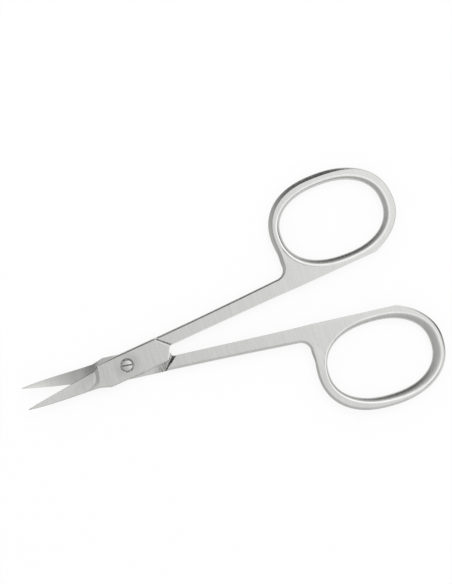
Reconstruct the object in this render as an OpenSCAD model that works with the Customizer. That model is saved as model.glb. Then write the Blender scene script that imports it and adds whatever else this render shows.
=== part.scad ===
/* [Joint] */
// Angle between the two handle edges as the scissors lie
open_angle = 12.1; // [4:0.1:40]
// Full thickness of the shanks and finger bows
body_t = 2.2; // [1.8:0.1:2.8]
// Width of the flat lap plate that each half has round the screw
plate_w = 5.85; // [5.2:0.05:6.2]
// Play between the two lap plates
lap_gap = 0.03; // [0.02:0.01:0.06]
// Play left between the handle edges when the scissors are shut
shut_gap = 0.1; // [0.06:0.02:0.2]

/* [Blades] */
// Distance from the screw to the blade tips
tip_x = 22.8; // [20:0.1:26]
// Height that the curved blades rise from the lap plane to the tips
blade_rise = 1.6; // [0:0.1:2.4]
// Blade thickness along the spine at the root
spine_t = 0.62; // [0.5:0.02:0.9]
// Blade thickness along the spine at the tip
tip_t = 0.3; // [0.2:0.05:0.5]
// Width of the blunt end of each tip
tip_w = 0.12; // [0.08:0.02:0.2]
// Thickness left at the cutting edge
edge_t = 0.06; // [0.04:0.01:0.12]
// Depth of the hollow ground into each inner face
hollow = 0.05; // [0:0.01:0.1]
// Angle by which both blades lean off the line of the handles
blade_lean = 0.25; // [0:0.05:1]

/* [Finger bows] */
// Distance from the screw to the middle of the finger hole
bow_x = 53.05; // [50:0.05:58]
// Half the length of the finger hole
hole_rx = 11.42; // [10.5:0.02:12]
// Half the width of the finger hole
hole_ry = 8; // [7.2:0.05:8.2]
// Half the length of the bow outside
bow_rx = 13.95; // [13.6:0.05:14.4]
// Half the width of the bow outside
bow_ry = 10.85; // [10.4:0.05:11]
// Width of the shank
shank_w = 3.06; // [2.9:0.02:3.2]

/* [Screw] */
// Radius of the slotted head
head_r = 1.25; // [1.15:0.05:1.3]
// Radius of the recess that the head sits in
recess_r = 1.48; // [1.4:0.02:1.7]
// Radius of the smooth shoulder that the front half turns on
shoulder_r = 0.8; // [0.7:0.05:0.95]
// Radial play between the shoulder and the front half
bore_play = 0.03; // [0.02:0.01:0.08]
// Width of the screwdriver slot
slot_w = 0.32; // [0.3:0.02:0.5]

/* [Hidden] */
steel = [0.77, 0.77, 0.75];
$fn = 64;

// The lap plane is halfway up, so each plate is half as thick as a shank
lap_z = body_t / 2;
plate_z = lap_z + lap_gap / 2;
edge_y = shut_gap / 2;

// Chamfer along the outer edges of the plate and the shank
chamfer_w = 0.28;
chamfer_h = 0.45;

// Fillet between the shank's outer edge and the bow
fillet_r = 2.2;
fillet_x = 36.85;
fillet_y = shank_w + fillet_r;
// Depth by which the shank's inner edge lies back from the straight line of the handle
inner_set = 0.12;
set_start_x = 34;
set_end_x = 41;
// Height at which the bow's straight left side hands over to its oval
side_top_y = 8.6;
// Angle round the bow where its outline leaves the straight handle edge
web_end_a = 284;

// End wall of the lap: it slopes from the shank's face down to the lap plane, where its
// foot is nearer to the screw
wall_x = 10.8;
wall_end_x = 8.43;
wall_run = 0.95;
wall_angle = atan2(wall_x - wall_end_x, shank_w);
wall_slope = atan2(wall_run, lap_z);
wall_play = 0.08;
// A cutting block larger than the half it cuts
block = 40;

// Groove that parts the outer face of the plate from the shank
groove_x = 10.5;
groove_end_x = 8.02;
groove_w = 0.45;
groove_back_w = 0.25;
groove_depth = 0.24;

// Blade root: the plate ends at the heel, where the grinding wheel ran out
heel_y = 2.62;
heel_x = 5.75;
cove_edge_x = 5.85;
cove_spine_x = 7.2;
cove_len = 1.5;
shoulder_x = 4.85;
neck_x = 7.3;
root_x = 4.2;
root_inset = 0.04;
spine_y = 1.9;
spine_belly = 1.42;
edge_root_x = 7.1;
edge_root_y = 1.86;
edge_belly = 0.8;
bend_r = 6;
// The spine is thickest near its middle, and the face thins a little toward the edge, where
// a narrow bevel makes the cutting edge
mid_swell = 0.28;
edge_share = 0.75;
bevel_v = 0.9;

// Screw heights, from the rest plane up
head_seat_z = body_t - 0.5;
head_top_z = body_t + 0.14;
head_chamfer = 0.16;
slot_depth = 0.36;
slot_turn = -8;
thread_r = 0.7;
thread_bite = 0.01;
seat_play = 0.03;

// Finger bow outlines: superellipses whose exponent squares the oval a little
oval_n = 2.26;
hole_y = 10.27;
hole_tilt = -4.3;
bow_shift_x = 0.15;
bow_y = 9.95;
bow_taper = -0.072;
bow_steps = 72;
outer_bevel = 0.4;
bevel_h = 0.62;
// Part of the rim's width, from the hole, at which the web is let into it
web_root = 0.62;

function lerp(a, b, t) = a + (b - a) * t;
function clamp01(t) = min(1, max(0, t));
function smooth01(t) = clamp01(t) * clamp01(t) * (3 - 2 * clamp01(t));
// One coordinate of a superellipse from the cosine or sine of its angle
function oval(c) = sign(c) * pow(abs(c), 2 / oval_n);

// Point of the finger hole's outline at angle a
function hole_point(a) =
    let (px = hole_rx * oval(cos(a)), py = hole_ry * oval(sin(a)))
    [bow_x + px * cos(hole_tilt) - py * sin(hole_tilt),
     hole_y + px * sin(hole_tilt) + py * cos(hole_tilt)];

// Point of the bow's outer outline at angle a, cut off by the straight handle edge
function bow_point(a) =
    let (cx = oval(cos(a)), py = bow_ry * oval(sin(a)) * (1 + bow_taper * cx))
    [bow_x + bow_shift_x + bow_rx * cx, max(edge_y, bow_y + py)];

// Width at angle a of the slope that leads into the hole: on the screw's side of the half,
// and on its lap side, where it is broadest at the far end of the bow
function face_slope(a) = 0.95 + 0.45 * cos(a + 70);
function lap_slope(a) = 1.2 + 0.75 * cos(a - 20);

// Height of the curved lap surface above the lap plane, at distance r from the screw.
// It is a surface of revolution, so the blades pass each other at every angle.
function rise(r) = blade_rise * pow(max(0, r - bend_r) / (tip_x - bend_r), 2);

// Blade outline at x, measured toward the tip: cutting edge and spine, both with a belly
// that is fullest two thirds of the way to the tip
function belly(u) = u * u * (1 - u);
function edge_u(x) = (x - edge_root_x) / (tip_x - edge_root_x);
function spine_u(x) = (x - neck_x) / (tip_x - neck_x);
function edge_line(x) =
    lerp(edge_root_y, tip_w / 2, edge_u(x)) + edge_belly * belly(edge_u(x));
function blade_edge(x) =
    x > edge_root_x ? edge_line(x)
    : lerp(edge_root_y, heel_y, smooth01((edge_root_x - x) / (edge_root_x - heel_x)));
function blade_spine(x) =
    x > neck_x ? -lerp(spine_y, tip_w / 2, spine_u(x)) - spine_belly * belly(spine_u(x))
    : -lerp(spine_y, plate_w / 2 - 0.12, pow(clamp01((neck_x - x) / (neck_x - shoulder_x)), 1.1));

// Thickness of the ground blade at x, with v running from the spine to the cutting edge
function ground_t(x, v) =
    let (u = clamp01(spine_u(x)),
         back = lerp(spine_t, tip_t, u) + mid_swell * 4 * u * (1 - u))
    v < bevel_v ? lerp(back, back * edge_share, v / bevel_v)
    : lerp(back * edge_share, edge_t, (v - bevel_v) / (1 - bevel_v));
// Quarter circle of the grinding wheel's run-out, from 0 at the plate to 1 on the blade
function cove(x, v) =
    let (s = clamp01((x - lerp(cove_spine_x, cove_edge_x, v)) / cove_len))
    sqrt(1 - (1 - s) * (1 - s));
function blade_t(x, v) = lerp(body_t - plate_z - root_inset, ground_t(x, v), cove(x, v));

// Blade of one half with its root inside the plate; side is 1 where it curves away
// from the lap plane and -1 where it curves toward it
module blade(side) {
    stations = 44;
    across = [0, 0.15, 0.3, 0.45, 0.6, 0.75, bevel_v, 1];
    n = len(across);
    row = 2 * n;
    function station_x(i) = root_x + (tip_x - root_x) * pow(i / (stations - 1), 1.25);
    function base_z(x, y) = plate_z + side * rise(norm([x, y]));
    function spot(x, v) =
        lerp(blade_spine(x), blade_edge(x), v) + side * x * sin(blade_lean);
    function low_point(x, v) =
        let (y = spot(x, v), inset = x < shoulder_x ? root_inset : 0)
        [-x, y, base_z(x, y) + inset + hollow * 4 * v * (1 - v) * smooth01((x - heel_x) / 3)];
    function top_point(x, v) =
        let (y = spot(x, v))
        [-x, y, base_z(x, y) + blade_t(x, v)];
    points = [for (i = [0 : stations - 1])
        let (x = station_x(i))
        each concat([for (k = [0 : n - 1]) low_point(x, across[k])],
                    [for (k = [n - 1 : -1 : 0]) top_point(x, across[k])])];
    sides = [for (i = [0 : stations - 2], j = [0 : row - 1])
        let (a = i * row + j, b = i * row + (j + 1) % row)
        each [[a, b, b + row], [a, b + row, a + row]]];
    first_cap = [for (j = [0 : n - 2])
        let (a = j, b = j + 1, c = row - 2 - j, d = row - 1 - j)
        each [[a, c, b], [a, d, c]]];
    last_cap = [for (j = [0 : n - 2])
        let (f = (stations - 1) * row, a = f + j, b = a + 1, c = f + row - 2 - j, d = c + 1)
        each [[a, b, c], [a, c, d]]];
    polyhedron(points, concat(sides, first_cap, last_cap));
}

// Rounded ring of the finger bow, swept round the hole; its outer bevel fades out along
// the straight handle edge, which is left sharp
module bow() {
    row = 8;
    function section(a) =
        let (i = hole_point(a), o = bow_point(a), d = (o - i) / norm(o - i),
             fade = lerp(0.15, 1, smooth01((o.y - edge_y) / 3)),
             ow = outer_bevel * fade, oh = bevel_h * fade,
             face_w = face_slope(a), lap_w = lap_slope(a))
        [[i.x, i.y, bevel_h],
         [i.x, i.y, body_t - bevel_h],
         [i.x + d.x * face_w, i.y + d.y * face_w, body_t],
         [o.x - d.x * ow, o.y - d.y * ow, body_t],
         [o.x, o.y, body_t - oh],
         [o.x, o.y, oh],
         [o.x - d.x * ow, o.y - d.y * ow, 0],
         [i.x + d.x * lap_w, i.y + d.y * lap_w, 0]];
    points = [for (k = [0 : bow_steps - 1]) each section(k * 360 / bow_steps)];
    faces = [for (k = [0 : bow_steps - 1], j = [0 : row - 1])
        let (n = (k + 1) % bow_steps, m = (j + 1) % row,
             a = k * row + j, b = k * row + m, c = n * row + m, e = n * row + j)
        each [[a, c, b], [a, e, c]]];
    polyhedron(points, faces);
}

// Flat outline of plate, shank and web; it ends inside the rim of the bow
module handle_outline() {
    half_w = plate_w / 2;
    polygon(concat(
        [[-heel_x, heel_y], [-1.5, shank_w]],
        [for (a = [-90 : 15 : 0])
            [fillet_x + fillet_r * cos(a), fillet_y + fillet_r * sin(a)]],
        [[fillet_x + fillet_r, side_top_y]],
        [for (a = [176 : 9 : web_end_a]) lerp(hole_point(a), bow_point(a), web_root)],
        [[bow_point(web_end_a).x, edge_y], [set_end_x, edge_y]],
        [[set_start_x, edge_y + inner_set], [groove_x - 0.05, edge_y + inner_set]],
        [[10, 0.02], [9.75, -0.4], [9.58, -0.8], [9.3, -1.75], [8.7, -2.5]],
        [[8.2, 0.15 - half_w]],
        [[-shoulder_x, 0.12 - half_w]]));
}

// Half space on the screw's side of the sloped end wall, below the lap plane's height
module lap_block() {
    translate([wall_x, 0, 0])
        rotate([0, 0, wall_angle])
            rotate([0, -wall_slope, 0])
                translate([-block, -block / 2, -block])
                    cube([block, block, 2 * block]);
}

// Space that the other half's plate fills in this half
module lap_pocket() {
    intersection() {
        lap_block();
        translate([-block, -block / 2, plate_z - block])
            cube([2 * block, block, block]);
    }
}

// What the other half's end wall takes off this plate's overhanging corner when shut
module corner_relief() {
    intersection() {
        difference() {
            translate([0, -block, -block / 2])
                cube([block, block + edge_y - 0.02, block]);
            translate([-wall_play, 0, body_t])
                mirror([0, 0, 1])
                    mirror([0, 1, 0])
                        lap_block();
        }
        translate([0, -block, 0])
            cube([block, block + edge_y - 0.02, body_t + 1]);
    }
}

// Tool that planes a chamfer along an edge that runs along +X with air on its +Y side;
// the top face is at z 0
module chamfer_tool(len) {
    translate([0, -chamfer_w, 0])
        rotate([-atan2(chamfer_h, chamfer_w), 0, 0])
            cube([len, 3, 2]);
}

// Chamfer along the outer edge of plate and shank, round the fillet and up the bow's side
module outer_chamfer() {
    side_x = fillet_x + fillet_r;
    translate([-12, shank_w, 0])
        chamfer_tool(fillet_x + 12);
    intersection() {
        translate([fillet_x, fillet_y, -chamfer_h])
            cylinder(h = chamfer_h, r1 = fillet_r, r2 = fillet_r + chamfer_w);
        translate([fillet_x, shank_w - 1, -chamfer_h])
            cube([fillet_r + 1, fillet_r + 1, 1]);
    }
    translate([side_x, fillet_y, 0])
        rotate([0, 0, 90])
            chamfer_tool(side_top_y - fillet_y);
}

// V-shaped groove across the outer face, between plate and shank
module groove() {
    turn = atan2(groove_x - groove_end_x, shank_w);
    translate([groove_x, 0, body_t])
        rotate([0, 0, turn])
            rotate([90, 0, 0])
                translate([0, 0, -6])
                    linear_extrude(12)
                        polygon([[-groove_w, 0.01], [0, -groove_depth], [groove_back_w, 0.01]]);
}

// One half without its screw hole, outer face up
module half_blank(side) {
    difference() {
        linear_extrude(body_t)
            handle_outline();
        lap_pocket();
        corner_relief();
        groove();
        translate([0, 0, body_t])
            outer_chamfer();
        mirror([0, 0, 1])
            outer_chamfer();
    }
    bow();
    blade(side);
}

module front_half() {
    color(steel)
        rotate([0, 0, open_angle / 2])
            difference() {
                half_blank(1);
                translate([0, 0, -1])
                    cylinder(h = body_t + 2, r = shoulder_r + bore_play);
                translate([0, 0, head_seat_z])
                    cylinder(h = 2, r = recess_r);
            }
}

module rear_half() {
    color(steel)
        rotate([0, 0, -open_angle / 2])
            translate([0, 0, body_t])
                rotate([180, 0, 0])
                    difference() {
                        half_blank(-1);
                        translate([0, 0, -1])
                            cylinder(h = body_t + 2, r = thread_r);
                    }
}

module pivot_screw() {
    color([0.7, 0.7, 0.68])
        difference() {
            union() {
                cylinder(h = plate_z, r = thread_r + thread_bite);
                translate([0, 0, lap_z])
                    cylinder(h = head_seat_z + seat_play - lap_z, r = shoulder_r);
                translate([0, 0, head_seat_z + seat_play])
                    cylinder(h = head_top_z - head_seat_z - seat_play - head_chamfer, r = head_r);
                translate([0, 0, head_top_z - head_chamfer])
                    cylinder(h = head_chamfer, r1 = head_r, r2 = head_r - head_chamfer);
            }
            rotate([0, 0, slot_turn])
                translate([-2, -slot_w / 2, head_top_z - slot_depth])
                    cube([4, slot_w, 2]);
        }
}

front_half();
rear_half();
pivot_screw();
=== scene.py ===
"""Looks of the cuticle scissors: two ground and brushed steel halves and their slotted screw.

Each half is worked out in its own frame, in millimetres, like the solids: the screw's axis at
the origin, +x along the handle's straight inner edge, +y outward, the outer face up. It is one
closed skin made of grids that share their border points: a bar (blade, lap plate, shank), a web,
the inside of the finger bow's rim, and its outside.
"""
import math

import bmesh
import bpy
import numpy as np
from mathutils import Matrix, Vector


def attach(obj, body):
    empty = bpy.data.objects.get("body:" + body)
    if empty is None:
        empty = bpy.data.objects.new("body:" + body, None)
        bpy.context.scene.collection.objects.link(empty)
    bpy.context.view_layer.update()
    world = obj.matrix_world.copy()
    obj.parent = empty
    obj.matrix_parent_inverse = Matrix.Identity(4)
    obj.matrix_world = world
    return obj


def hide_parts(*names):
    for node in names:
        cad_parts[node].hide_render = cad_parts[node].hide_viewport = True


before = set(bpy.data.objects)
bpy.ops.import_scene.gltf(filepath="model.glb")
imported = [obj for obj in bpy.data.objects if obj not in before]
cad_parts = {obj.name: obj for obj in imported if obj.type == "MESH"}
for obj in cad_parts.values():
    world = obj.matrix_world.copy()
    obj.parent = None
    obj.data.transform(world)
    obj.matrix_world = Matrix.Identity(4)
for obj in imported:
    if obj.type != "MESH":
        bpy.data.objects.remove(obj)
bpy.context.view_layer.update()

MM = 0.001
HALF_OPEN = math.radians(6.05)
QUARTER = math.pi / 2

# Sizes of a half, in millimetres. Most are the solids' own; the flare of the shank, the cove and
# the thicker back at the blade's root are made here only.
BODY_T, LAP_T, PLATE_Z, LAP_GAP = 2.2, 1.1, 1.115, 0.03
EDGE_Y = 0.05
SHANK_W, FLARE, FLARE_X, FLARE_POWER = 2.92, 0.44, 9, 1.7
SET_BACK_Y, SET_BACK_X, SET_BACK_RUN = 0.17, 33, 8
FILLET_X, FILLET_R = 36.85, 2.2
WEB_X = 43.0

# Blade: tip, thickness, curve out of the plane, heel, shoulder, spine and edge
TIP_X, TIP_W, TIP_T = 22.8, 0.12, 0.3
SPINE_T, EDGE_T, ROOT_T, ROOT_SWELL = 0.62, 0.06, 1.0, 0.12
MID_SWELL, EDGE_SHARE, BEVEL_V, BEVEL_RUN = 0.28, 0.72, 0.985, 0.015
BLADE_RISE, BEND_R, HOLLOW, HOLLOW_RUN = 1.6, 6.0, 0.05, 3
LEAN, LEAN_X = math.sin(math.radians(0.25)), 4
HEEL_X, HEEL_Y, HEEL_RUN = 5.75, 2.62, 4.25
SHOULDER_X, SHOULDER_Y = 4.85, 2.805
NECK_X, NECK_POWER, SPINE_Y, SPINE_BELLY = 7.3, 1.1, 1.9, 1.42
ROOT_EDGE_X, ROOT_EDGE_Y, EDGE_BELLY = 7.1, 1.86, 0.8
BLADE_ROOT = -4.6
COVE_X, COVE_CURVE, COVE_POWER = 5.85, 1.6, 2.3

# Plate, the patch that its hole is cut from, and the end wall that the other plate meets
NOSE_Y, PLATE_TAPER = 2.775, 13.05
PATCH_X, PATCH_ROWS = 2.2, 7
WALL_TOP_X, WALL_FOOT_X, WALL_END_X = 10.8, 9.87, 8.43
WALL_LEAN, WALL_RUN, WALL_GAP = 0.811, 0.95, 0.08
GROOVE_DEPTH = 0.24
SHARP, SHANK_BEVEL = 0.012, 0.44

# Finger hole and bow: superellipses with centre and half axes
OVAL_POWER = 2.26
HOLE_C, HOLE_R, HOLE_TILT = (53.05, 10.27), (11.42, 8.0), math.radians(-4.3)
BOW_C, BOW_R, BOW_TAPER = (53.2, 9.95), (13.95, 10.85), 0.072
FACE_FLAT, LAP_FLAT = 0.45, 0.3
FACE_DROP, FACE_POWER, LAP_POWER = 0.8, 1.4, 1.45

# Where the web starts and ends round the finger hole, in degrees
WEB_START, WEB_END = 186.0, 284.0

COLUMNS = 12
EDGE_STEPS, EDGE_SOFTNESS = 4, 0.12
EDGE_ROWS = 2 * EDGE_STEPS + 1

# Columns of the bar's loops: lap side, inner edge, outer face, outer edge, lap side again
LOW_IN = slice(0, COLUMNS + 1)
INNER = slice(LOW_IN.stop, LOW_IN.stop + EDGE_ROWS)
TOP = slice(INNER.stop, INNER.stop + 2 * COLUMNS + 1)
OUTER = slice(TOP.stop, TOP.stop + EDGE_ROWS)
LOW_OUT = slice(OUTER.stop, OUTER.stop + COLUMNS)

# Rings of the screw's hole as (radius, height), from the face down into the plate
FRONT_RECESS = [(1.53, BODY_T), (1.49, BODY_T - 0.02), (1.48, BODY_T - 0.06), (1.48, 1.73),
                (1.45, 1.7), (0.86, 1.7), (0.83, 1.67), (0.83, PLATE_Z + LAP_GAP)]
FRONT_MOUTH = [(0.86, PLATE_Z), (0.83, PLATE_Z + LAP_GAP)]
REAR_END = [(0.76, BODY_T), (0.72, BODY_T - 0.04), (0.71, PLATE_Z + LAP_GAP)]
REAR_MOUTH = [(0.74, PLATE_Z), (0.71, PLATE_Z + LAP_GAP)]
RECESS_FLOOR_RING = 3

# Screw: radii and heights in the front half's frame
HEAD_R, SLOT_HALF, SLOT_DEPTH, SEAT_Z, CROWN_Z = 1.25, 0.16, 0.34, 1.73, 2.34
SCREW_TURN = math.radians(-8)

# Steel's colours: two tones of the grain, a pale one for worn edges and painted highlights,
# and a dark one for painted shade and the darker ring round the screw
STEEL_DARKER, STEEL_LIGHTER = (0.58, 0.578, 0.566), (0.71, 0.708, 0.695)
STEEL_SHEEN_AND_WEAR, STEEL_SHADED = (0.95, 0.947, 0.93), (0.13, 0.128, 0.124)

# The picture's slant against +x, in degrees, and sizes of the stage, in metres
SLANT = 18.76
FLOOR_HALF, TENT_R = 1.6, 0.4
PHOTO_DISTANCE, PHOTO_WIDTH, PHOTO_STRETCH = 0.45, 0.09695, 1.0026


def lerp(a, b, t):
    return a + (b - a) * t


def clamp01(t):
    return np.clip(t, 0.0, 1.0)


def smooth(t):
    t = clamp01(t)
    return t * t * (3 - 2 * t)


def unit(v):
    return v / np.linalg.norm(v, axis=-1, keepdims=True)


def lifted(p, z):
    """Points of a plan with their height added: one height, or one for each point."""
    return np.concatenate([p, np.broadcast_to(z, p.shape[:-1])[..., None]], -1)


def quads_of(index):
    """Quads between neighbours of a grid of point numbers."""
    return np.stack([index[:-1, :-1], index[1:, :-1], index[1:, 1:], index[:-1, 1:]], -1)


def oval(c):
    """One coordinate of a superellipse from the cosine or sine of its angle."""
    return np.sign(c) * np.abs(c) ** (2 / OVAL_POWER)


def hole_point(deg):
    """Outline of the finger hole: a superellipse, slightly tilted."""
    a = np.radians(deg)
    px, py = HOLE_R[0] * oval(np.cos(a)), HOLE_R[1] * oval(np.sin(a))
    c, s = math.cos(HOLE_TILT), math.sin(HOLE_TILT)
    return np.stack([HOLE_C[0] + px * c - py * s, HOLE_C[1] + px * s + py * c], -1)


def bow_point(deg):
    """Outer outline of the bow: a tapering superellipse cut off by the straight handle edge."""
    a = np.radians(deg)
    cx = oval(np.cos(a))
    py = BOW_R[1] * oval(np.sin(a)) * (1 - BOW_TAPER * cx)
    return np.stack([BOW_C[0] + BOW_R[0] * cx, np.maximum(EDGE_Y, BOW_C[1] + py)], -1)


def rise(r):
    """Height of the curved lap surface: it grows with the square of the distance past the bend."""
    return BLADE_RISE * (np.maximum(0, r - BEND_R) / (TIP_X - BEND_R)) ** 2


def shank_outer(x):
    """Outer edge of the shank at x: level beside the plate, then wider toward the bow."""
    return SHANK_W + FLARE * clamp01((x - FLARE_X) / (FILLET_X - FLARE_X)) ** FLARE_POWER


def shank_inner(x):
    """Inner edge of the shank at x: a little back from the handle's straight line."""
    return lerp(SET_BACK_Y, EDGE_Y, smooth((x - SET_BACK_X) / SET_BACK_RUN))


def blade_edge(x):
    """Cutting edge at x toward the tip: a line with a belly, then an S up to the heel."""
    u = (x - ROOT_EDGE_X) / (TIP_X - ROOT_EDGE_X)
    line = lerp(ROOT_EDGE_Y, TIP_W / 2, u) + EDGE_BELLY * u * u * (1 - u)
    heel = lerp(ROOT_EDGE_Y, HEEL_Y, smooth((ROOT_EDGE_X - x) / (ROOT_EDGE_X - HEEL_X)))
    return np.where(x > ROOT_EDGE_X, line, heel)


def blade_spine(x):
    """Spine at x toward the tip: a line with a belly, then a quick curve out to the plate."""
    u = (x - NECK_X) / (TIP_X - NECK_X)
    line = lerp(SPINE_Y, TIP_W / 2, u) + SPINE_BELLY * u * u * (1 - u)
    s = clamp01((NECK_X - x) / (NECK_X - SHOULDER_X))
    return -np.where(x > NECK_X, line, lerp(SPINE_Y, SHOULDER_Y, s ** NECK_POWER))


def cove_way(x, v):
    """How far x lies down the cove: 0 at its curved start on the plate, 1 at its foot. It is
    short at the heel and fades out toward the spine."""
    start = COVE_X + COVE_CURVE * (1 - v) ** 1.5
    return (x - start) / lerp(3.0, 1.0, smooth(v / 0.4))


def blade_top(x, v, r, side):
    """Outer face of blade and plate. The blade thins a little from spine (v 0) to edge (v 1),
    where a narrow bevel cuts it down. A hollow cove joins it to the plate, with a shallow dip
    at its foot."""
    u = clamp01((x - NECK_X) / (TIP_X - NECK_X))
    back = lerp(ROOT_T, TIP_T, u) + ROOT_SWELL * 4 * u * (1 - u)
    front = EDGE_SHARE * (lerp(SPINE_T, TIP_T, u) + MID_SWELL * 4 * u * (1 - u))
    thinner = (v / BEVEL_V) ** lerp(1.8, 1.0, clamp01(3 * u))
    wedge = np.where(v < BEVEL_V, lerp(back, front, thinner),
                     lerp(front, EDGE_T, (v - BEVEL_V) / BEVEL_RUN))
    s = cove_way(x, v)
    cove = lerp(smooth(s), 1 - (1 - clamp01(s)) ** COVE_POWER, smooth(v / 0.5))
    dip = 0.05 * np.exp(-((s - 0.9) / 0.3) ** 2) * v
    return PLATE_Z + side * rise(r) + lerp(BODY_T - PLATE_Z, wedge, cove) - dip


def blade_bottom(x, v, r, side):
    """Lap side: flat round the screw, then the curved surface with a shallow hollow."""
    hollow = HOLLOW * 4 * v * (1 - v) * smooth((x - HEEL_X) / HOLLOW_RUN)
    return PLATE_Z + side * rise(r) + hollow


def halo(p):
    """Darker ring on the plate round the screw, uneven about it."""
    r, a = np.linalg.norm(p[..., :2], axis=-1), np.arctan2(p[..., 1], p[..., 0])
    amount, limit, fade = 0.2, 3.6, 1.9
    return amount * smooth((limit - r) / fade) * (0.65 + 0.35 * np.cos(2 * a - 0.6))


def rounded(points, n):
    """Polyline with its corners cut three times, resampled to n points of equal spacing."""
    p = np.array(points, float)
    for _ in range(3):
        a, b = p[:-1], p[1:]
        cut = np.stack([lerp(a, b, 0.25), lerp(a, b, 0.75)], 1).reshape(-1, 2)
        p = np.concatenate([p[:1], cut, p[-1:]])
    d = np.concatenate([[0], np.cumsum(np.linalg.norm(np.diff(p, axis=0), axis=1))])
    t = np.linspace(0, d[-1], n)
    return np.stack([np.interp(t, d, p[:, 0]), np.interp(t, d, p[:, 1])], -1)


def face_slope(deg):
    """Width of the slope into the finger hole on the outer face."""
    mean, swing, turn = 0.95, 0.45, 70
    return mean + swing * np.cos(np.radians(deg + turn))


def lap_slope(deg):
    """Width of the same slope on the lap side, broadest at the far end of the bow."""
    mean, swing, turn = 1.2, 0.75, -20
    return mean + swing * np.cos(np.radians(deg + turn))


def rim_edges(deg):
    """Width and height of the rim's outer bevel on the outer face, then on the lap side. The
    first is broad on the outward side, and all four fade out along the straight handle edge."""
    narrow, broad, lap_w, lap_h = 0.24, 0.92, 0.45, 0.26
    fade = lerp(0.05, 1.0, smooth((bow_point(deg)[..., 1] - EDGE_Y) / 3))
    turn = np.mod(deg, 360.0)
    w = lerp(narrow, broad, smooth((turn - 40) / 50) * (1 - smooth((turn - 215) / 45)))
    return w * fade, (0.12 + 0.58 * w) * fade, lap_w * fade, lap_h * fade


def bevel_row(line, out, width, z, drop, i):
    """Row i of EDGE_STEPS of a bevel that starts at height z, width inside the outline: a plain
    chamfer with a touch of a quarter ellipse."""
    q = i / EDGE_STEPS
    across = lerp(q, math.sin(q * QUARTER), EDGE_SOFTNESS)
    down = lerp(q, 1 - math.cos(q * QUARTER), EDGE_SOFTNESS)
    return lifted(line - out * (width * (1 - across))[..., None], z - drop * down)


def edge_rows(top, low, out, z_top, z_low, size, mid_z=None):
    """Rows from a face's limit on top, over a softened bevel, down the wall and over the lower
    bevel. top and low are the outline's points, out the outward direction in plan, and size the
    width and height of the upper and the lower bevel. mid_z moves the wall's middle row up or
    down, under the top outline."""
    wt, ht, wb, hb = (np.broadcast_to(s, z_top.shape) for s in size)
    if mid_z is None:
        middle = lifted((top + low) / 2, (z_top - ht + z_low + hb) / 2)
    else:
        middle = lifted(top, mid_z)
    steps = range(1, EDGE_STEPS + 1)
    return ([bevel_row(top, out, wt, z_top, ht, i) for i in steps] + [middle]
            + [bevel_row(low, out, wb, z_low, -hb, i) for i in reversed(steps)])


def blade_and_plate(side):
    """Inner and outer outline of the blade and of the plate as far as the hole's patch, and the
    first and last station of that patch."""
    tip_end, root, plate = 21.8, 7.9, 4.3
    blade_x = np.concatenate([np.linspace(TIP_X, tip_end, 8)[:-1],
                              np.linspace(tip_end, root, 66)[:-1],
                              np.linspace(root, plate, 66)])
    before = np.linspace(-plate, -PATCH_X, 8)[1:]
    x = np.concatenate([-blade_x, before, np.linspace(-PATCH_X, PATCH_X, 25)[1:]])
    shift = side * LEAN * np.maximum(0, -x - LEAN_X) * TIP_X / (TIP_X - LEAN_X)
    inner = np.where(x < -SHOULDER_X, blade_spine(-x),
                     lerp(-SHOULDER_Y, -NOSE_Y, (x + SHOULDER_X) / PLATE_TAPER)) + shift
    outer = np.where(x < -HEEL_X, blade_edge(-x),
                     np.minimum(SHANK_W, lerp(HEEL_Y, SHANK_W, (x + HEEL_X) / HEEL_RUN))) + shift
    patch = (len(blade_x) + len(before) - 1, len(x) - 1)
    return np.stack([x, inner], -1), np.stack([x, outer], -1), patch


def bend_to_bow():
    """Inner and outer outline from the fillet to where the web starts, and the turn of each
    station."""
    start = bow_point(WEB_START)
    inward = unit(hole_point(WEB_START) - start)
    last_turn = math.atan2(inward[1], inward[0])
    turn = np.radians(np.linspace(-90, 0, 16))[1:]
    arc = np.stack([FILLET_X + FILLET_R * np.cos(turn),
                    SHANK_W + FLARE + FILLET_R + FILLET_R * np.sin(turn)], -1)
    t = np.linspace(0, 1, 12)[1:]
    rising = np.stack([lerp(arc[-1, 0], start[0], smooth(t)), lerp(arc[-1, 1], start[1], t)], -1)
    outer = np.concatenate([arc, rising])
    m = len(outer)
    x = lerp(FILLET_X, WEB_X, np.arange(1, m + 1) / m)
    return (np.stack([x, shank_inner(x)], -1), outer,
            np.concatenate([turn, last_turn * smooth(t)]))


def bar_bevels(it, ot, plate_n, m):
    """Bevel sizes of the bar's outer edge and of its inner edge. plate_n stations lie on blade
    and plate, and the last m on the bend to the bow."""
    rw, rh, lw, lh = rim_edges(np.array(WEB_START))
    ew, eh, elw, elh = rim_edges(np.array(WEB_END))
    k = np.arange(len(it))
    shank = k > plate_n + 2
    bend = np.zeros(len(it))
    bend[-m:] = smooth(np.arange(1, m + 1) / m)
    side_w = np.where(ot[:, 0] < -HEEL_X, SHARP,
                      np.clip(SHANK_BEVEL - (SHANK_W - ot[:, 1]), 0.015, SHANK_BEVEL))
    outer = (lerp(side_w, rw, bend), lerp(side_w * 0.85, rh, bend),
             np.where(shank, lerp(0.42, lw, bend), SHARP),
             np.where(shank, lerp(0.24, lh, bend), SHARP))
    # the inner edge's bevel grows from the tip, and again where the plate's corner turns
    taper = lerp(0.05, 0.12, clamp01((TIP_X + it[:, 0]) / 14))
    to_nose = smooth((k - plate_n + 14) / 12)
    corner = smooth((k - plate_n + 34) / 10) * (1 - smooth((k - plate_n + 6) / 5))
    inner = (lerp(taper, ew, to_nose) + 0.15 * corner, lerp(taper * 1.1, eh, to_nose),
             np.where(shank, elw, 0.01), np.where(shank, elh, 0.01))
    return outer, inner


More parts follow.
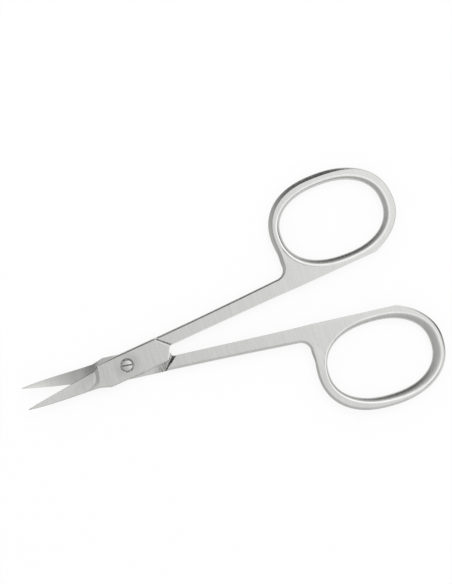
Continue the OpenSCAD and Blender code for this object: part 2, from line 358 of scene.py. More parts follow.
def bar_stations(side):
    """Stations of the bar from the tip to where the bow begins: outline points of the inner and
    outer side on top (it, ot) and on the lap side (ib, ob), outward directions, depth of the
    groove, height of the lap side, and bevel sizes."""
    inner, outer, patch = blade_and_plate(side)
    n = 44
    nose = rounded([inner[-1], (8.1, -NOSE_Y), (8.7, -2.55), (9.3, -1.75), (9.58, -0.8),
                    (9.78, -0.38), (9.9, -0.16)], n)[1:]
    level = np.full(n - 1, SHANK_W)
    over = np.stack([np.linspace(PATCH_X, 7.5, n)[1:], level], -1)
    over_low = np.stack([np.linspace(PATCH_X, 7.3, n)[1:], level], -1)
    # four stations for the groove on top and the end wall on the lap side
    wall_top = (WALL_TOP_X, SET_BACK_Y)
    gi = np.array([(10.14, 0.04), (10.35, 0.13), (10.6, SET_BACK_Y), wall_top])
    go = np.array([(x, SHANK_W) for x in (7.74, 7.98, 8.22, WALL_END_X)])
    gi_low = np.array([(WALL_FOOT_X, 0.0), (10.2, 0.1), (10.5, 0.16), wall_top])
    go_low = np.array([(x, SHANK_W) for x in (7.5, 7.81, 8.12, WALL_END_X)])

    t = np.linspace(0, 1, 52)[1:]
    x = lerp(WALL_TOP_X, FILLET_X, t)
    shank_i = np.stack([x, shank_inner(x)], -1)
    x = lerp(WALL_END_X, FILLET_X, t)
    shank_o = np.stack([x, shank_outer(x)], -1)
    bend_i, bend_o, bend_turn = bend_to_bow()
    m = len(bend_o)

    it = np.concatenate([inner, nose, gi, shank_i, bend_i])
    ot = np.concatenate([outer, over, go, shank_o, bend_o])
    ib = np.concatenate([inner, nose, gi_low, shank_i, bend_i])
    ob = np.concatenate([outer, over_low, go_low, shank_o, bend_o])

    plate_n = len(inner) + len(nose)
    k = np.arange(len(it))
    groove = np.zeros(len(it))
    groove[plate_n:plate_n + 2] = GROOVE_DEPTH * 0.22, GROOVE_DEPTH
    # the end wall, with a ledge in its middle, from the lap plane down to the shank's face
    floor = np.zeros(len(it))
    floor[:plate_n + 1] = PLATE_Z
    floor[plate_n + 1:plate_n + 3] = 0.66 * PLATE_Z, 0.42 * PLATE_Z
    # the corner of the plate is planed off below, where the other half's end wall comes
    limit = WALL_TOP_X - WALL_GAP - WALL_LEAN * np.abs(it[:, 1])
    planed = (k < plate_n) & (it[:, 0] > 6) & (it[:, 1] < 0.03)
    low_limit = limit - WALL_RUN * (BODY_T - PLATE_Z) / LAP_T
    ib[:, 0] = np.where(planed, np.minimum(ib[:, 0], low_limit), ib[:, 0])

    tangent_i = unit(np.gradient(it, axis=0))
    out_i = np.stack([tangent_i[:, 1], -tangent_i[:, 0]], -1)
    tangent_o = unit(np.gradient(ot, axis=0))
    out_o = np.stack([-tangent_o[:, 1], tangent_o[:, 0]], -1)
    out_i[plate_n - 1:] = (0.0, -1.0)
    out_o[plate_n - 1:-m] = (0.0, 1.0)
    out_o[-m:] = -np.stack([np.cos(bend_turn), np.sin(bend_turn)], -1)

    outer_size, inner_size = bar_bevels(it, ot, plate_n, m)
    return dict(it=it, ot=ot, ib=ib, ob=ob, out_i=out_i, out_o=out_o, groove=groove, floor=floor,
                on_plate=k <= plate_n + 1, plate_n=plate_n, planed=planed, limit=limit, m=m,
                outer_size=outer_size, inner_size=inner_size, patch=patch)


def flat_columns(a, b, z):
    """Columns of points from a to b in plan, at height z or at the heights that z gives."""
    t = np.linspace(0, 1, COLUMNS + 1)[None, :, None]
    p = lerp(a[:, None, :], b[:, None, :], t)
    return lifted(p, z(p) if callable(z) else z)


def bar_values(loops, s):
    """Wear and painted highlights, painted shade in creases and hollows, and shade at each point of
    the bar's loops: painted shade on the lap side, and a darker ring round the screw on top.
    """
    x, y, z = (loops[..., i] for i in range(3))
    spine, edge, on_plate = s["it"][:, 1:], s["ot"][:, 1:], s["on_plate"][:, None]
    g = s["plate_n"]
    corner = g - 40

    # wear shows on the edges, less where the inner edge's bevel starts; a painted highlight runs as
    # a thin bright line where the plate breaks off into the cove
    wear_and_sheen = np.zeros(x.shape)
    wear_and_sheen[:, INNER] = 1
    wear_and_sheen[:, OUTER] = 1
    wear_and_sheen[:, INNER.stop - 1] *= 0.5
    across = (y - spine) / (edge - spine)
    lip = np.exp(-(cove_way(-x, across) / 0.09) ** 2) * smooth((across - 0.2) / 0.4)
    faces_up = np.zeros(x.shape[1], bool)
    faces_up[TOP] = True
    wear_and_sheen = np.maximum(wear_and_sheen, 2 * lip * (faces_up[None, :] & (x < BLADE_ROOT)))

    # painted shade, mottled by scuffs: on the lap floor close to the end wall where the other plate
    # overhangs it, in the groove, as a contact line on the side wall of blade and plate up to the
    # plate's corner, and in two bands of the end wall with an unshaded ledge between them
    painted_shade = np.zeros(x.shape)
    foot = WALL_FOOT_X - WALL_LEAN * np.maximum(0, y - EDGE_Y) - x
    lap_floor = (z < PLATE_Z + 0.02) & on_plate & (x > 0)
    painted_shade[lap_floor] = smooth(1.1 - foot[lap_floor] / 3.0)
    painted_shade[g + 1, TOP] = 0.75
    painted_shade[:corner, INNER.start + 1:INNER.stop - 1] = 0.5
    for k, amount in ((g, 0.4), (g + 1, 0.05), (g + 2, 0.35), (g + 3, 0.0)):
        painted_shade[k, LOW_OUT] = amount
        painted_shade[k, LOW_IN] = amount

    # shade: painted shade on the lap side, darkest at the blade's root where the other half
    # overhangs it and lighter on the heel; on top, the darker ring round the screw
    far = np.linalg.norm(loops[..., :2], axis=-1)
    shade = 0.74 * clamp01((20 - far) / 13) ** 1.3 * lerp(0.35, 1.0, smooth((far - 5.8) / 1.6))
    shade = np.where(x < BLADE_ROOT, shade, 0.26 * smooth((-1.5 - x) / 1.5))
    under = np.zeros(x.shape[1], bool)
    under[LOW_IN] = True
    under[OUTER.stop - 1:] = True
    return wear_and_sheen, painted_shade, np.where(under[None, :], shade, halo(loops) * faces_up[None, :])


def bar_loops(side):
    """Closed loops of the bar, one to a station: bottom from the division line to the inner
    edge, inner edge, top across to the outer edge, outer edge, and back along the bottom."""
    s = bar_stations(side)
    it, ot, ib, ob = s["it"], s["ot"], s["ib"], s["ob"]
    wi, hi, wil, hil = s["inner_size"]
    wo, _, wol, _ = s["outer_size"]
    i_top = it - s["out_i"] * wi[:, None]
    o_top = ot - s["out_o"] * wo[:, None]
    i_low = ib - s["out_i"] * wil[:, None]
    o_low = ob - s["out_o"] * wol[:, None]
    # the division line runs in the middle, and on the bend toward the limit of the rim's flat
    d_top, d_low = (i_top + o_top) / 2, (i_low + o_low) / 2
    m, middle = s["m"], 1.395
    reach = np.linalg.norm(hole_point(WEB_START) - bow_point(WEB_START))
    t = smooth(np.arange(1, m + 1) / m)
    away = -s["out_o"][-m:]
    top_reach = lerp(middle, reach - face_slope(WEB_START) - FACE_FLAT, t)
    low_reach = lerp(middle, reach - lap_slope(WEB_START) - LAP_FLAT, t)
    d_top[-m:] = ot[-m:] + away * top_reach[:, None]
    d_low[-m:] = ob[-m:] + away * low_reach[:, None]
    spine, edge = it[:, 1][:, None], ot[:, 1][:, None]
    on_plate, groove, floor = (s[key][:, None] for key in ("on_plate", "groove", "floor"))

    def height(p, blade, flat):
        r = np.linalg.norm(p, axis=-1)
        v = clamp01((p[..., 1] - spine) / (edge - spine))
        return np.where((p[..., 0] < 0) & on_plate, blade(-p[..., 0], v, r, side), flat)

    def z_top(p):
        return height(p, blade_top, BODY_T - groove)

    def z_low(p):
        return height(p, blade_bottom, floor)

    low_in, top_in = flat_columns(d_low, i_low, z_low), flat_columns(i_top, d_top, z_top)
    top_out, low_out = flat_columns(d_top, o_top, z_top), flat_columns(o_low, d_low, z_low)
    zi_t, zi_b = top_in[:, 0, 2], low_in[:, -1, 2]
    lowest, highest = zi_b + hil + 0.03, zi_t - hi - 0.02
    slant = BODY_T - (s["limit"] - it[:, 0]) * LAP_T / WALL_RUN
    mid = np.where(s["planed"], np.clip(slant, np.minimum(lowest, highest), highest),
                   (zi_t - hi + zi_b + hil) / 2)
    inner = edge_rows(it, ib, s["out_i"], zi_t, zi_b, s["inner_size"], mid)
    outer = edge_rows(ot, ob, s["out_o"], top_out[:, -1, 2], low_out[:, 0, 2], s["outer_size"])
    loops = np.concatenate([low_in, np.stack(inner[::-1], 1), top_in, top_out[:, 1:],
                            np.stack(outer, 1), low_out[:, :-1]], 1)
    return loops, bar_values(loops, s), s["patch"]


def web_strips():
    """The web's stations, from the bow's start to where the rim leaves the handle edge: bottom
    from the rim to the inner edge, inner edge, and top back to the rim."""
    deg = np.linspace(WEB_START, WEB_END, 73)
    hole, bow = hole_point(deg), bow_point(deg)
    d = unit(bow - hole)
    t = (deg - WEB_START) / (WEB_END - WEB_START)
    edge = np.stack([lerp(WEB_X, bow[-1][0], t), np.full(t.shape, EDGE_Y)], -1)
    turn = smooth((t - 0.85) / 0.15)[:, None]
    out = unit(lerp(np.array([0.0, -1.0]), d[-1], turn))
    c_top = hole + d * (face_slope(deg) + FACE_FLAT)[:, None]
    c_low = hole + d * (lap_slope(deg) + LAP_FLAT)[:, None]
    size = rim_edges(np.array(WEB_END))
    low = flat_columns(c_low, edge - out * size[2], 0.0)
    top = flat_columns(edge - out * size[0], c_top, BODY_T)
    level, floor = np.full(len(deg), BODY_T), np.zeros(len(deg))
    rows = edge_rows(edge, edge, out, level, floor, size)
    strip = np.concatenate([low, np.stack(rows[::-1], 1), top], 1)
    wear_and_sheen = np.zeros(strip.shape[:2])
    wear_and_sheen[:, INNER] = 1
    return deg, strip, wear_and_sheen


def rim_inside(deg):
    """Inside of the rim, all round the hole: flat, a slope that rounds off into the hole, the
    wall, and the same back on the lap side. Depth along a slope follows a superellipse."""
    hole = hole_point(deg)
    d = unit(bow_point(deg) - hole)
    face, lap = face_slope(deg), lap_slope(deg)
    lap_drop = 0.7 + 0.35 * smooth((lap - 0.9) / 0.8)
    across = np.sin(np.linspace(0, 1, 13) * QUARTER)

    def drop(v, power):
        return 1 - (1 - v ** power) ** (1 / power)

    rows = [(face + FACE_FLAT * t, BODY_T) for t in (1.0, 0.5)]
    rows += [(face * (1 - v), BODY_T - FACE_DROP * drop(v, FACE_POWER)) for v in across]
    rows += [(0.0, (BODY_T - FACE_DROP + lap_drop) / 2)]
    rows += [(lap * (1 - v), lap_drop * drop(v, LAP_POWER)) for v in across[::-1]]
    rows += [(lap + LAP_FLAT * t, 0.0) for t in (0.5, 1.0)]
    dist, height = (np.stack([np.broadcast_to(value, deg.shape) for value in values], 1)
                    for values in zip(*rows))
    wear_and_sheen = np.zeros(dist.shape)
    # painted highlight along the crest where the flat turns into the slope, on both faces
    wear_and_sheen[:, 1:4] = 1.0, 2.6, 1.6
    wear_and_sheen[:, -4:-1] = 1.6, 2.6, 1.0
    return lifted(hole[:, None, :] + d[:, None, :] * dist[..., None], height), wear_and_sheen


def rim_outside(deg):
    """Outside of the rim where it stands free: flat, bevel, wall, bevel and flat again."""
    hole, bow = hole_point(deg), bow_point(deg)
    d = unit(bow - hole)
    size = rim_edges(deg)
    c_top = hole + d * (face_slope(deg) + FACE_FLAT)[:, None]
    c_low = hole + d * (lap_slope(deg) + LAP_FLAT)[:, None]
    top = flat_columns(c_top, bow - d * size[0][:, None], BODY_T)
    low = flat_columns(bow - d * size[2][:, None], c_low, 0.0)
    level, floor = np.full(deg.shape, BODY_T), np.zeros(deg.shape)
    rows = edge_rows(bow, bow, d, level, floor, size)
    strip = np.concatenate([top, np.stack(rows, 1), low], 1)
    wear_and_sheen = np.zeros(strip.shape[:2])
    wear_and_sheen[:, INNER.start + 1:INNER.stop] = 1
    return strip, wear_and_sheen


def patch_border(loops, first, last, columns):
    """Border points of a patch of the bar, once round."""
    patch = loops[first:last + 1][:, columns]
    return np.concatenate([patch[0, :-1], patch[:-1, -1], patch[-1, :0:-1], patch[:0:-1, 0]])


def round_hole(border, ring, radii):
    """Grid from the border of a cleared patch of the bar in to a circle round the screw's axis,
    and on down through the plate: radii gives (radius, height) of each further ring."""
    rings = [lifted(ring * r, z) for r, z in radii]
    ways = np.linspace(0, 1, PATCH_ROWS + 1)[:-1]
    return np.stack([lerp(border, rings[0], 1 - (1 - t) ** 1.5) for t in ways] + rings, 1)


class Skin:
    """Collects grids of points into one closed mesh, with three values at each: wear and painted
    highlights, painted shade in creases and hollows, and a shade painted on the lap side and
    darker round the screw.
    """

    def __init__(self):
        self.points, self.faces, self.count = [], [], 0
        self.values = {"wear_and_sheen": [], "painted_shade": [], "shade": []}

    def add(self, grid, wear_and_sheen=None, painted_shade=None, shade=None, wrap_a=False, wrap_b=False,
            skip=None):
        a, b = grid.shape[:2]
        index = self.count + np.arange(a * b).reshape(a, b)
        if wrap_a:
            index = np.concatenate([index, index[:1]], 0)
        if wrap_b:
            index = np.concatenate([index, index[:, :1]], 1)
        quads = quads_of(index)
        if skip is not None:
            quads = quads[~skip]
        self.points.append(grid.reshape(-1, 3))
        self.faces.append(quads.reshape(-1, 4))
        for key, values in (("wear_and_sheen", wear_and_sheen), ("painted_shade", painted_shade), ("shade", shade)):
            self.values[key].append(np.zeros(a * b) if values is None else values.reshape(-1))
        self.count += a * b

    def mesh(self, name, place, caps=()):
        """Object with the mesh of all grids and caps, its points moved by place."""
        p = place(np.concatenate(self.points)) * MM
        mesh = bpy.data.meshes.new(name)
        faces = np.concatenate(self.faces).tolist() + [list(c) for c in caps]
        mesh.from_pydata(p.tolist(), [], faces)
        for key, values in self.values.items():
            layer = mesh.attributes.new(key, "FLOAT", "POINT")
            layer.data.foreach_set("value", np.concatenate(values).astype(np.float32))
        bm = bmesh.new()
        bm.from_mesh(mesh)
        bmesh.ops.remove_doubles(bm, verts=bm.verts, dist=3e-7)
        bmesh.ops.dissolve_degenerate(bm, edges=bm.edges, dist=1e-8)
        bmesh.ops.recalc_face_normals(bm, faces=bm.faces)
        bm.to_mesh(mesh)
        bm.free()
        mesh.shade_smooth()
        mesh.set_sharp_from_angle(angle=math.radians(30))
        return linked(name, mesh)


def linked(name, data):
    """Object of the data, linked to the scene."""
    thing = bpy.data.objects.new(name, data)
    bpy.context.scene.collection.objects.link(thing)
    return thing


def turned(p, angle):
    c, s = math.cos(angle), math.sin(angle)
    return np.stack([p[:, 0] * c - p[:, 1] * s, p[:, 0] * s + p[:, 1] * c, p[:, 2]], -1)


def front_place(p):
    return turned(p, HALF_OPEN)


def rear_place(p):
    """The rear half is turned over: its outer face lies in the rest plane."""
    return turned(np.stack([p[:, 0], -p[:, 1], BODY_T - p[:, 2]], -1), -HALF_OPEN)


def make_half(name, side, place, top_rings, low_rings):
    """One whole half as a single closed skin."""
    skin = Skin()
    loops, (wear_and_sheen, painted_shade, shade), (first, last) = bar_loops(side)
    total = loops.shape[1]
    top = np.arange(TOP.start, TOP.stop)
    low = np.concatenate([np.arange(LOW_OUT.start, total), np.arange(LOW_IN.stop)])
    skip = np.zeros((loops.shape[0] - 1, total), bool)
    skip[first:last, top[:-1]] = True
    skip[first:last, low[:-1]] = True
    skin.add(loops, wear_and_sheen, painted_shade, shade, wrap_b=True, skip=skip)

    border = patch_border(loops, first, last, top)
    ring = unit(border[:, :2])
    bore = round_hole(border, ring, top_rings)
    # painted shade in the screw's recess: its floor, the gap round the head and down the bore
    painted_shade_amount = np.zeros(bore.shape[:2])
    painted_shade_amount[:, PATCH_ROWS + RECESS_FLOOR_RING:] = 1.0
    skin.add(bore, painted_shade=painted_shade_amount, shade=halo(bore), wrap_a=True)
    skin.add(round_hole(patch_border(loops, first, last, low[::-1]), ring, low_rings), wrap_a=True)

    deg, strip, web_wear = web_strips()
    skin.add(strip, web_wear)
    free = np.linspace(WEB_END, WEB_START + 360, 241)
    inside, crest_highlight = rim_inside(np.concatenate([deg[:-1], free[:-1]]))
    skin.add(inside, crest_highlight, wrap_a=True)
    outside, outside_wear = rim_outside(free)
    skin.add(outside, outside_wear)
    return skin.mesh(name, place, caps=[range(total)])


def head_z(r):
    """Height of the screw's head at a radius: a low dome with a rounded rim."""
    r = np.minimum(r, HEAD_R)
    rim = clamp01((r - 1.0) / (HEAD_R - 1.0))
    return (CROWN_Z - 0.17 * (r / HEAD_R) ** 2.2
            - 0.13 * (1 - np.sqrt(np.maximum(0, 1 - rim ** 2))))


def wall_between(top, low):
    return np.stack([top, lerp(top, low, 0.5), low], 1)


def make_screw():
    """Slotted screw: two half discs with a low dome, their rounded rim, the slot's walls and
    floor, and below them the wall, the shoulder and the end as rings of a turned profile."""
    floor_z = CROWN_Z - SLOT_DEPTH
    slot_angle = math.asin(SLOT_HALF / HEAD_R)
    along = np.linspace(-1, 1, 49)
    u = np.sin(along * QUARTER)
    arc = lerp(math.pi - slot_angle, slot_angle, (along + 1) / 2)
    t = np.concatenate([np.linspace(0, 0.75, 9),
                        0.75 + 0.25 * np.sin(np.linspace(0, 1, 12)[1:] * QUARTER)])
    skin = Skin()
    # painted shade in the screw's slot, on its walls and floor
    slot_shade = np.array([[0.3, 2.0, 3.0]]).repeat(len(u), 0)
    low_ring = []
    for way in (1, -1):
        chord = np.stack([u * HEAD_R * math.cos(slot_angle), np.full(u.shape, SLOT_HALF * way)], -1)
        rim = np.stack([HEAD_R * np.cos(arc), HEAD_R * np.sin(arc) * way], -1)
        p = lerp(chord[:, None], rim[:, None], t[None, :, None])
        skin.add(lifted(p, head_z(np.linalg.norm(p, axis=-1))))
        chord_top = lifted(chord, head_z(np.linalg.norm(chord, axis=-1)))
        skin.add(wall_between(chord_top, lifted(chord, floor_z)), painted_shade=slot_shade)
        rim_low = lifted(rim, floor_z)
        skin.add(wall_between(lifted(rim, head_z(HEAD_R)), rim_low))
        low_ring.append(rim_low)

    v = np.linspace(-1, 1, 7) * SLOT_HALF
    ends = np.sqrt(HEAD_R * HEAD_R - v * v)
    x = u[:, None] * ends[None, :]
    floor = lifted(np.stack([x, np.broadcast_to(v[None, :], x.shape)], -1), floor_z)
    skin.add(floor, painted_shade=np.full(x.shape, slot_shade[0, -1]))
    left, right = (lifted(np.stack([end, v], -1), floor_z) for end in (-ends, ends))
    ring = np.concatenate([low_ring[0][::-1][:-1], left[::-1][:-1], low_ring[1][:-1],
                           right[:-1]])
    a = np.arctan2(ring[:, 1], ring[:, 0])
    profile = [(HEAD_R, floor_z), (HEAD_R, SEAT_Z + 0.05), (HEAD_R - 0.05, SEAT_Z),
               (0.85, SEAT_Z), (0.8, SEAT_Z - 0.05), (0.8, 1.13), (0.77, 1.1), (0.71, 1.1),
               (0.705, 0.1), (0.63, 0.0), (0.3, 0.0), (0.02, 0.0)]
    rows = [lifted(np.stack([r * np.cos(a), r * np.sin(a)], -1), z) for r, z in profile]
    last = skin.count + np.arange(len(a)) * len(profile) + len(profile) - 1
    skin.add(np.stack(rows, 1), wrap_a=True)
    return skin.mesh("slotted_screw", lambda p: turned(p, SCREW_TURN), caps=[last.tolist()])


class Nodes:
    """Small helper that adds and joins shader nodes of one material."""

    def __init__(self, name):
        self.material = bpy.data.materials.new(name)
        self.material.use_nodes = True
        self.tree = self.material.node_tree
        self.tree.nodes.clear()

    def new(self, kind, **values):
        node = self.tree.nodes.new(kind)
        for key, value in values.items():
            setattr(node, key, value)
        return node

    def join(self, a, b):
        self.tree.links.new(a, b)

    def feed(self, value, socket):
        """Give a socket a number, a colour or another node's output."""
        if isinstance(value, (int, float)):
            socket.default_value = value
        elif isinstance(value, tuple):
            socket.default_value = (*value, 1)
        else:
            self.join(value, socket)

    def math(self, op, a, b=None, clamp=False):
        node = self.new("ShaderNodeMath", operation=op, use_clamp=clamp)
        self.feed(a, node.inputs[0])
        if b is not None:
            self.feed(b, node.inputs[1])
        return node.outputs[0]

    def blend(self, a, b, factor):
        node = self.new("ShaderNodeMix", data_type="RGBA")
        self.feed(a, node.inputs["A"])
        self.feed(b, node.inputs["B"])
        self.join(factor, node.inputs["Factor"])
        return node.outputs["Result"]

    def value_of(self, attribute):
        return self.new("ShaderNodeAttribute", attribute_name=attribute).outputs["Fac"]

    def grain(self, coords, turn, scale, size, detail, roughness=0.5):
        """Noise whose density along x, y and z is scale times size. The scale comes before the
        turn, so streaks run along the frame's y, and turn only picks another part of the noise."""
        mapping = self.new("ShaderNodeMapping")
        mapping.inputs["Rotation"].default_value = (0, 0, turn)
        mapping.inputs["Scale"].default_value = scale
        self.join(coords, mapping.inputs["Vector"])
        noise = self.new("ShaderNodeTexNoise")
        noise.inputs["Scale"].default_value = size
        noise.inputs["Detail"].default_value = detail
        noise.inputs["Roughness"].default_value = roughness
        self.join(mapping.outputs[0], noise.inputs["Vector"])
        return noise.outputs[0]

    def spread(self, value, low, high, to_low, to_high):
        node = self.new("ShaderNodeMapRange", interpolation_type="SMOOTHSTEP")
        node.inputs["From Min"].default_value = low
        node.inputs["From Max"].default_value = high
        node.inputs["To Min"].default_value = to_low
        node.inputs["To Max"].default_value = to_high
        self.join(value, node.inputs["Value"])
        return node.outputs[0]

    def surface(self, shader):
        """The finished material, with the shader as its surface."""
        out = self.new("ShaderNodeOutputMaterial")
        self.join(shader, out.inputs["Surface"])
        return self.material


def round_coords(n, coords):
    """Coordinates whose first value is the distance from the screw's axis, so that grain across
    it runs in rings. The other two change slowly with the place."""
    slow = 0.06
    split = n.new("ShaderNodeSeparateXYZ")
    n.join(coords, split.inputs[0])
    flat = n.new("ShaderNodeCombineXYZ")
    n.join(split.outputs[0], flat.inputs[0])
    n.join(split.outputs[1], flat.inputs[1])
    length = n.new("ShaderNodeVectorMath", operation="LENGTH")
    n.join(flat.outputs[0], length.inputs[0])
    polar = n.new("ShaderNodeCombineXYZ")
    n.join(length.outputs["Value"], polar.inputs[0])
    n.join(n.math("MULTIPLY", split.outputs[0], slow), polar.inputs[1])
    n.join(n.math("MULTIPLY", split.outputs[1], slow), polar.inputs[2])
    return polar.outputs[0]


def brushed_steel(name, turn, screw=False):
    """Satin steel. Grain runs across the handles (or round the screw's axis): fine scratches,
    broader streaks and a slow cloudiness give the colour and roughness, and the first two the
    bump."""
    n = Nodes(name)
    coords = n.new("ShaderNodeTexCoord").outputs["Object"]
    if screw:
        coords = round_coords(n, coords)
    fine = n.grain(coords, turn, (1, 0.045, 0.3), 9000, 3, 0.6)
    streak = n.grain(coords, turn, (1, 0.05, 0.2), 2600, 2)
    cloud = n.grain(coords, turn, (1, 0.7, 1), 160, 3)
    scuffs = n.grain(coords, turn + 0.9, (1, 0.12, 1), 3600, 3, 0.65)
    both = n.math("ADD", n.math("MULTIPLY", fine, 0.5), n.math("MULTIPLY", streak, 0.5))
    painted_shade, wear_and_sheen, shade = (n.value_of(key) for key in ("painted_shade", "wear_and_sheen", "shade"))

    tone = n.spread(both, 0.3, 0.7, 0.0, 1.0)
    tone = n.math("ADD", n.math("MULTIPLY", tone, 0.65), n.math("MULTIPLY", cloud, 0.35))
    steel = n.blend(STEEL_DARKER, STEEL_LIGHTER, tone)
    # edge wear and painted highlights on crests and the cove's edge, as a paler colour
    sheen_and_wear = n.math("MULTIPLY", wear_and_sheen, n.math("MULTIPLY", cloud, 0.5), clamp=True)
    # painted shade in creases and hollows, mottled by scuffs
    painted_shade_amount = n.math("MULTIPLY", painted_shade, n.spread(scuffs, 0.38, 0.62, 0.25, 1.0), clamp=True)
    # painted shade on the blades' lap side, and the darker ring round the screw
    root_and_ring_shade = n.math("MULTIPLY", shade, n.spread(cloud, 0.3, 0.7, 0.8, 1.2), clamp=True)
    dark = n.math("MAXIMUM", n.math("MULTIPLY", painted_shade_amount, 0.9), root_and_ring_shade)
    colour = n.blend(n.blend(steel, STEEL_SHEEN_AND_WEAR, sheen_and_wear), STEEL_SHADED, dark)

    rough = n.spread(both, 0.25, 0.75, 0.19, 0.27)
    rough = n.math("ADD", rough, n.math("MULTIPLY", cloud, 0.05))
    rough = n.math("ADD", rough, n.math("MULTIPLY", wear_and_sheen, -0.05))

    bump = n.new("ShaderNodeBump")
    bump.inputs["Strength"].default_value = 0.16
    bump.inputs["Distance"].default_value = 0.00003
    n.join(both, bump.inputs["Height"])

    shader = n.new("ShaderNodeBsdfPrincipled")
    shader.inputs["Metallic"].default_value = 1.0
    n.join(colour, shader.inputs["Base Color"])
    n.join(rough, shader.inputs["Roughness"])
    n.join(bump.outputs[0], shader.inputs["Normal"])
    return n.surface(shader.outputs[0])


def pale_floor():
    """White table. What the camera sees of it is mostly its own white; the rest is lit, so that
    the object's soft shadow stays. The metal sees a duller white in it."""
    glow_share, duller = 0.86, 0.12
    n = Nodes("pale_floor")
    path = n.new("ShaderNodeLightPath").outputs
    seen = n.math("ADD", path["Is Camera Ray"], path["Is Glossy Ray"])
    seen = n.math("ADD", seen, path["Is Transmission Ray"], clamp=True)
    lit = n.new("ShaderNodeBsdfDiffuse")
    lit.inputs["Color"].default_value = (0.9, 0.9, 0.9, 1)
    white = n.new("ShaderNodeEmission")
    white.inputs["Color"].default_value = (1, 1, 1, 1)
    strength = n.math("SUBTRACT", 1.0, n.math("MULTIPLY", path["Is Glossy Ray"], duller))
    n.join(strength, white.inputs["Strength"])
    mix = n.new("ShaderNodeMixShader")
    n.join(n.math("MULTIPLY", seen, glow_share), mix.inputs[0])
    n.join(lit.outputs[0], mix.inputs[1])
    n.join(white.outputs[0], mix.inputs[2])
    return n.surface(mix.outputs[0])


def image_direction(angle, polar):
    """World direction at an angle in the picture, anticlockwise from its right, and at an angle
    from straight up."""
    a = math.radians(angle - SLANT)
    p = math.radians(polar)
    return (math.sin(p) * math.cos(a), math.sin(p) * math.sin(a), math.cos(p))


def tent_light():
    """Light tent: soft white all over, brighter to the upper right and the right, and dark low
    down behind the top edge and in one spot at the right."""
    base = 0.53
    # angle in the picture, angle from straight up, tightness, amount
    bright_lobes = (59, 42, 6.2, 0.83), (0, 50, 3, 0.43)
    dark_lobes = (97, 75, 5, 0.89), (28, 72, 17, 0.9)
    n = Nodes("tent_light")
    way = n.new("ShaderNodeVectorMath", operation="NORMALIZE")
    n.join(n.new("ShaderNodeTexCoord").outputs["Object"], way.inputs[0])

    def lobe(angle, polar, tightness, amount):
        dot = n.new("ShaderNodeVectorMath", operation="DOT_PRODUCT")
        n.join(way.outputs[0], dot.inputs[0])
        dot.inputs[1].default_value = image_direction(angle, polar)
        off = n.math("SUBTRACT", dot.outputs["Value"], 1.0)
        return n.math("MULTIPLY", n.math("EXPONENT", n.math("MULTIPLY", off, tightness)), amount)

    light = n.math("ADD", *(lobe(*values) for values in bright_lobes))
    light = n.math("ADD", light, base)
    for values in dark_lobes:
        light = n.math("MULTIPLY", light, n.math("SUBTRACT", 1.0, lobe(*values)))
    glow = n.new("ShaderNodeEmission")
    n.join(light, glow.inputs["Strength"])
    return n.surface(glow.outputs[0])


def grid_object(name, points, index, caps, material):
    """Object of a grid of points in metres, with extra faces and a material."""
    mesh = bpy.data.meshes.new(name)
    faces = quads_of(index).reshape(-1, 4).tolist() + caps
    mesh.from_pydata(points.reshape(-1, 3).tolist(), [], faces)
    mesh.materials.append(material)
    return linked(name, mesh)


def make_stage():
    """Floor as a flat grid, and the tent as a dome of revolution round the object."""
    n = 9
    u = np.linspace(-FLOOR_HALF, FLOOR_HALF, n)
    gx, gy = np.meshgrid(u, u, indexing="ij")
    index = np.arange(n * n).reshape(n, n)
    floor = grid_object("floor", np.stack([gx, gy, gx * 0], -1), index, [], pale_floor())

    rings, around = 33, 64
    a = np.linspace(0, 2 * math.pi, around + 1)[:-1]
    p = np.radians(np.linspace(0.5, 89.8, rings))
    x = TENT_R * np.sin(p)[:, None] * np.cos(a)[None, :]
    y = TENT_R * np.sin(p)[:, None] * np.sin(a)[None, :]
    z = np.broadcast_to(TENT_R * np.cos(p)[:, None], x.shape)
    index = np.arange(rings * around).reshape(rings, around)
    index = np.concatenate([index, index[:, :1]], 1)
    tent = grid_object("tent", np.stack([x, y, z], -1), index, [list(range(around))],
                       tent_light())
    tent.visible_camera = False
    tent.visible_diffuse = False
    tent.visible_transmission = False
    tent.visible_volume_scatter = False
    tent.visible_shadow = False


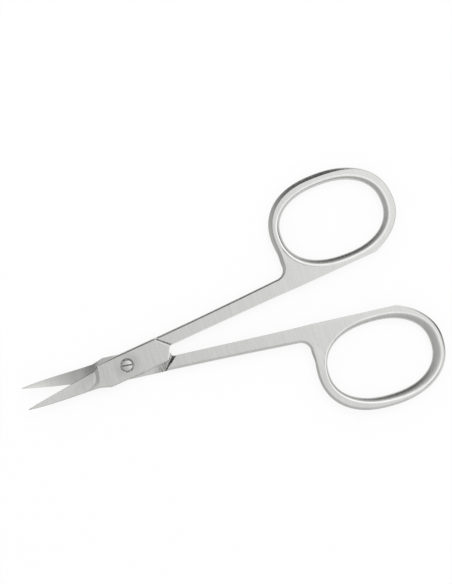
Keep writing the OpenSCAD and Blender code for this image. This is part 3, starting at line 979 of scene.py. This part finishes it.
def make_lights():
    """Even white all round, and one soft lamp a metre off that the metal doesn't mirror."""
    world = bpy.data.worlds.new("studio")
    bpy.context.scene.world = world
    world.use_nodes = True
    back = world.node_tree.nodes["Background"]
    back.inputs["Color"].default_value = (1, 1, 1, 1)
    back.inputs["Strength"].default_value = 0.95
    lamp = bpy.data.lights.new("softbox", "AREA")
    lamp.shape = "DISK"
    lamp.size = 0.5
    lamp.energy = 1.6
    way = Vector(image_direction(60, 35))
    box = linked("softbox", lamp)
    box.location = way
    box.rotation_euler = way.to_track_quat("Z", "Y").to_euler()
    box.visible_glossy = False


def make_camera():
    """Over the picture's middle, turned by the picture's slant and tipped a few degrees off
    straight down, toward the picture's lower side."""
    middle = Vector((0.02504, 0.00812, 0.0022))
    tip_across, tip_along = math.radians(-0.84), math.radians(-6.88)
    slant = math.radians(SLANT)
    data = bpy.data.cameras.new("camera")
    data.sensor_fit = "HORIZONTAL"
    data.sensor_width = 36
    data.lens = data.sensor_width * PHOTO_STRETCH * PHOTO_DISTANCE / PHOTO_WIDTH
    data.clip_start = 0.01
    across = Vector((math.cos(slant), -math.sin(slant), 0))
    along = Vector((math.sin(slant), math.cos(slant), 0))
    back = (Vector((0, 0, 1)) + across * math.tan(tip_across)
            + along * math.tan(tip_along)).normalized()
    right = (across - back * across.dot(back)).normalized()
    turn = Matrix((right, back.cross(right), back)).transposed().to_4x4()
    camera = linked("camera", data)
    camera.matrix_world = Matrix.Translation(middle + back * PHOTO_DISTANCE) @ turn
    bpy.context.scene.camera = camera


bpy.context.scene.view_settings.view_transform = "Standard"
make_stage()
make_lights()
make_camera()

front = make_half("front_blade_and_bow", 1, front_place, FRONT_RECESS, FRONT_MOUTH)
rear = make_half("rear_blade_and_bow", -1, rear_place, REAR_END, REAR_MOUTH)
screw = make_screw()

for piece, body, node, slot, finish in (
        (front, "front", "front_half", "satin_steel", brushed_steel("satin_front", -HALF_OPEN)),
        (rear, "rear", "rear_half", "satin_steel", brushed_steel("satin_rear", HALF_OPEN)),
        (screw, "rear", "pivot_screw", "screw_steel", brushed_steel("turned_screw", 0, True))):
    piece.data.materials.append(finish)
    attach(piece, body)
    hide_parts(node)
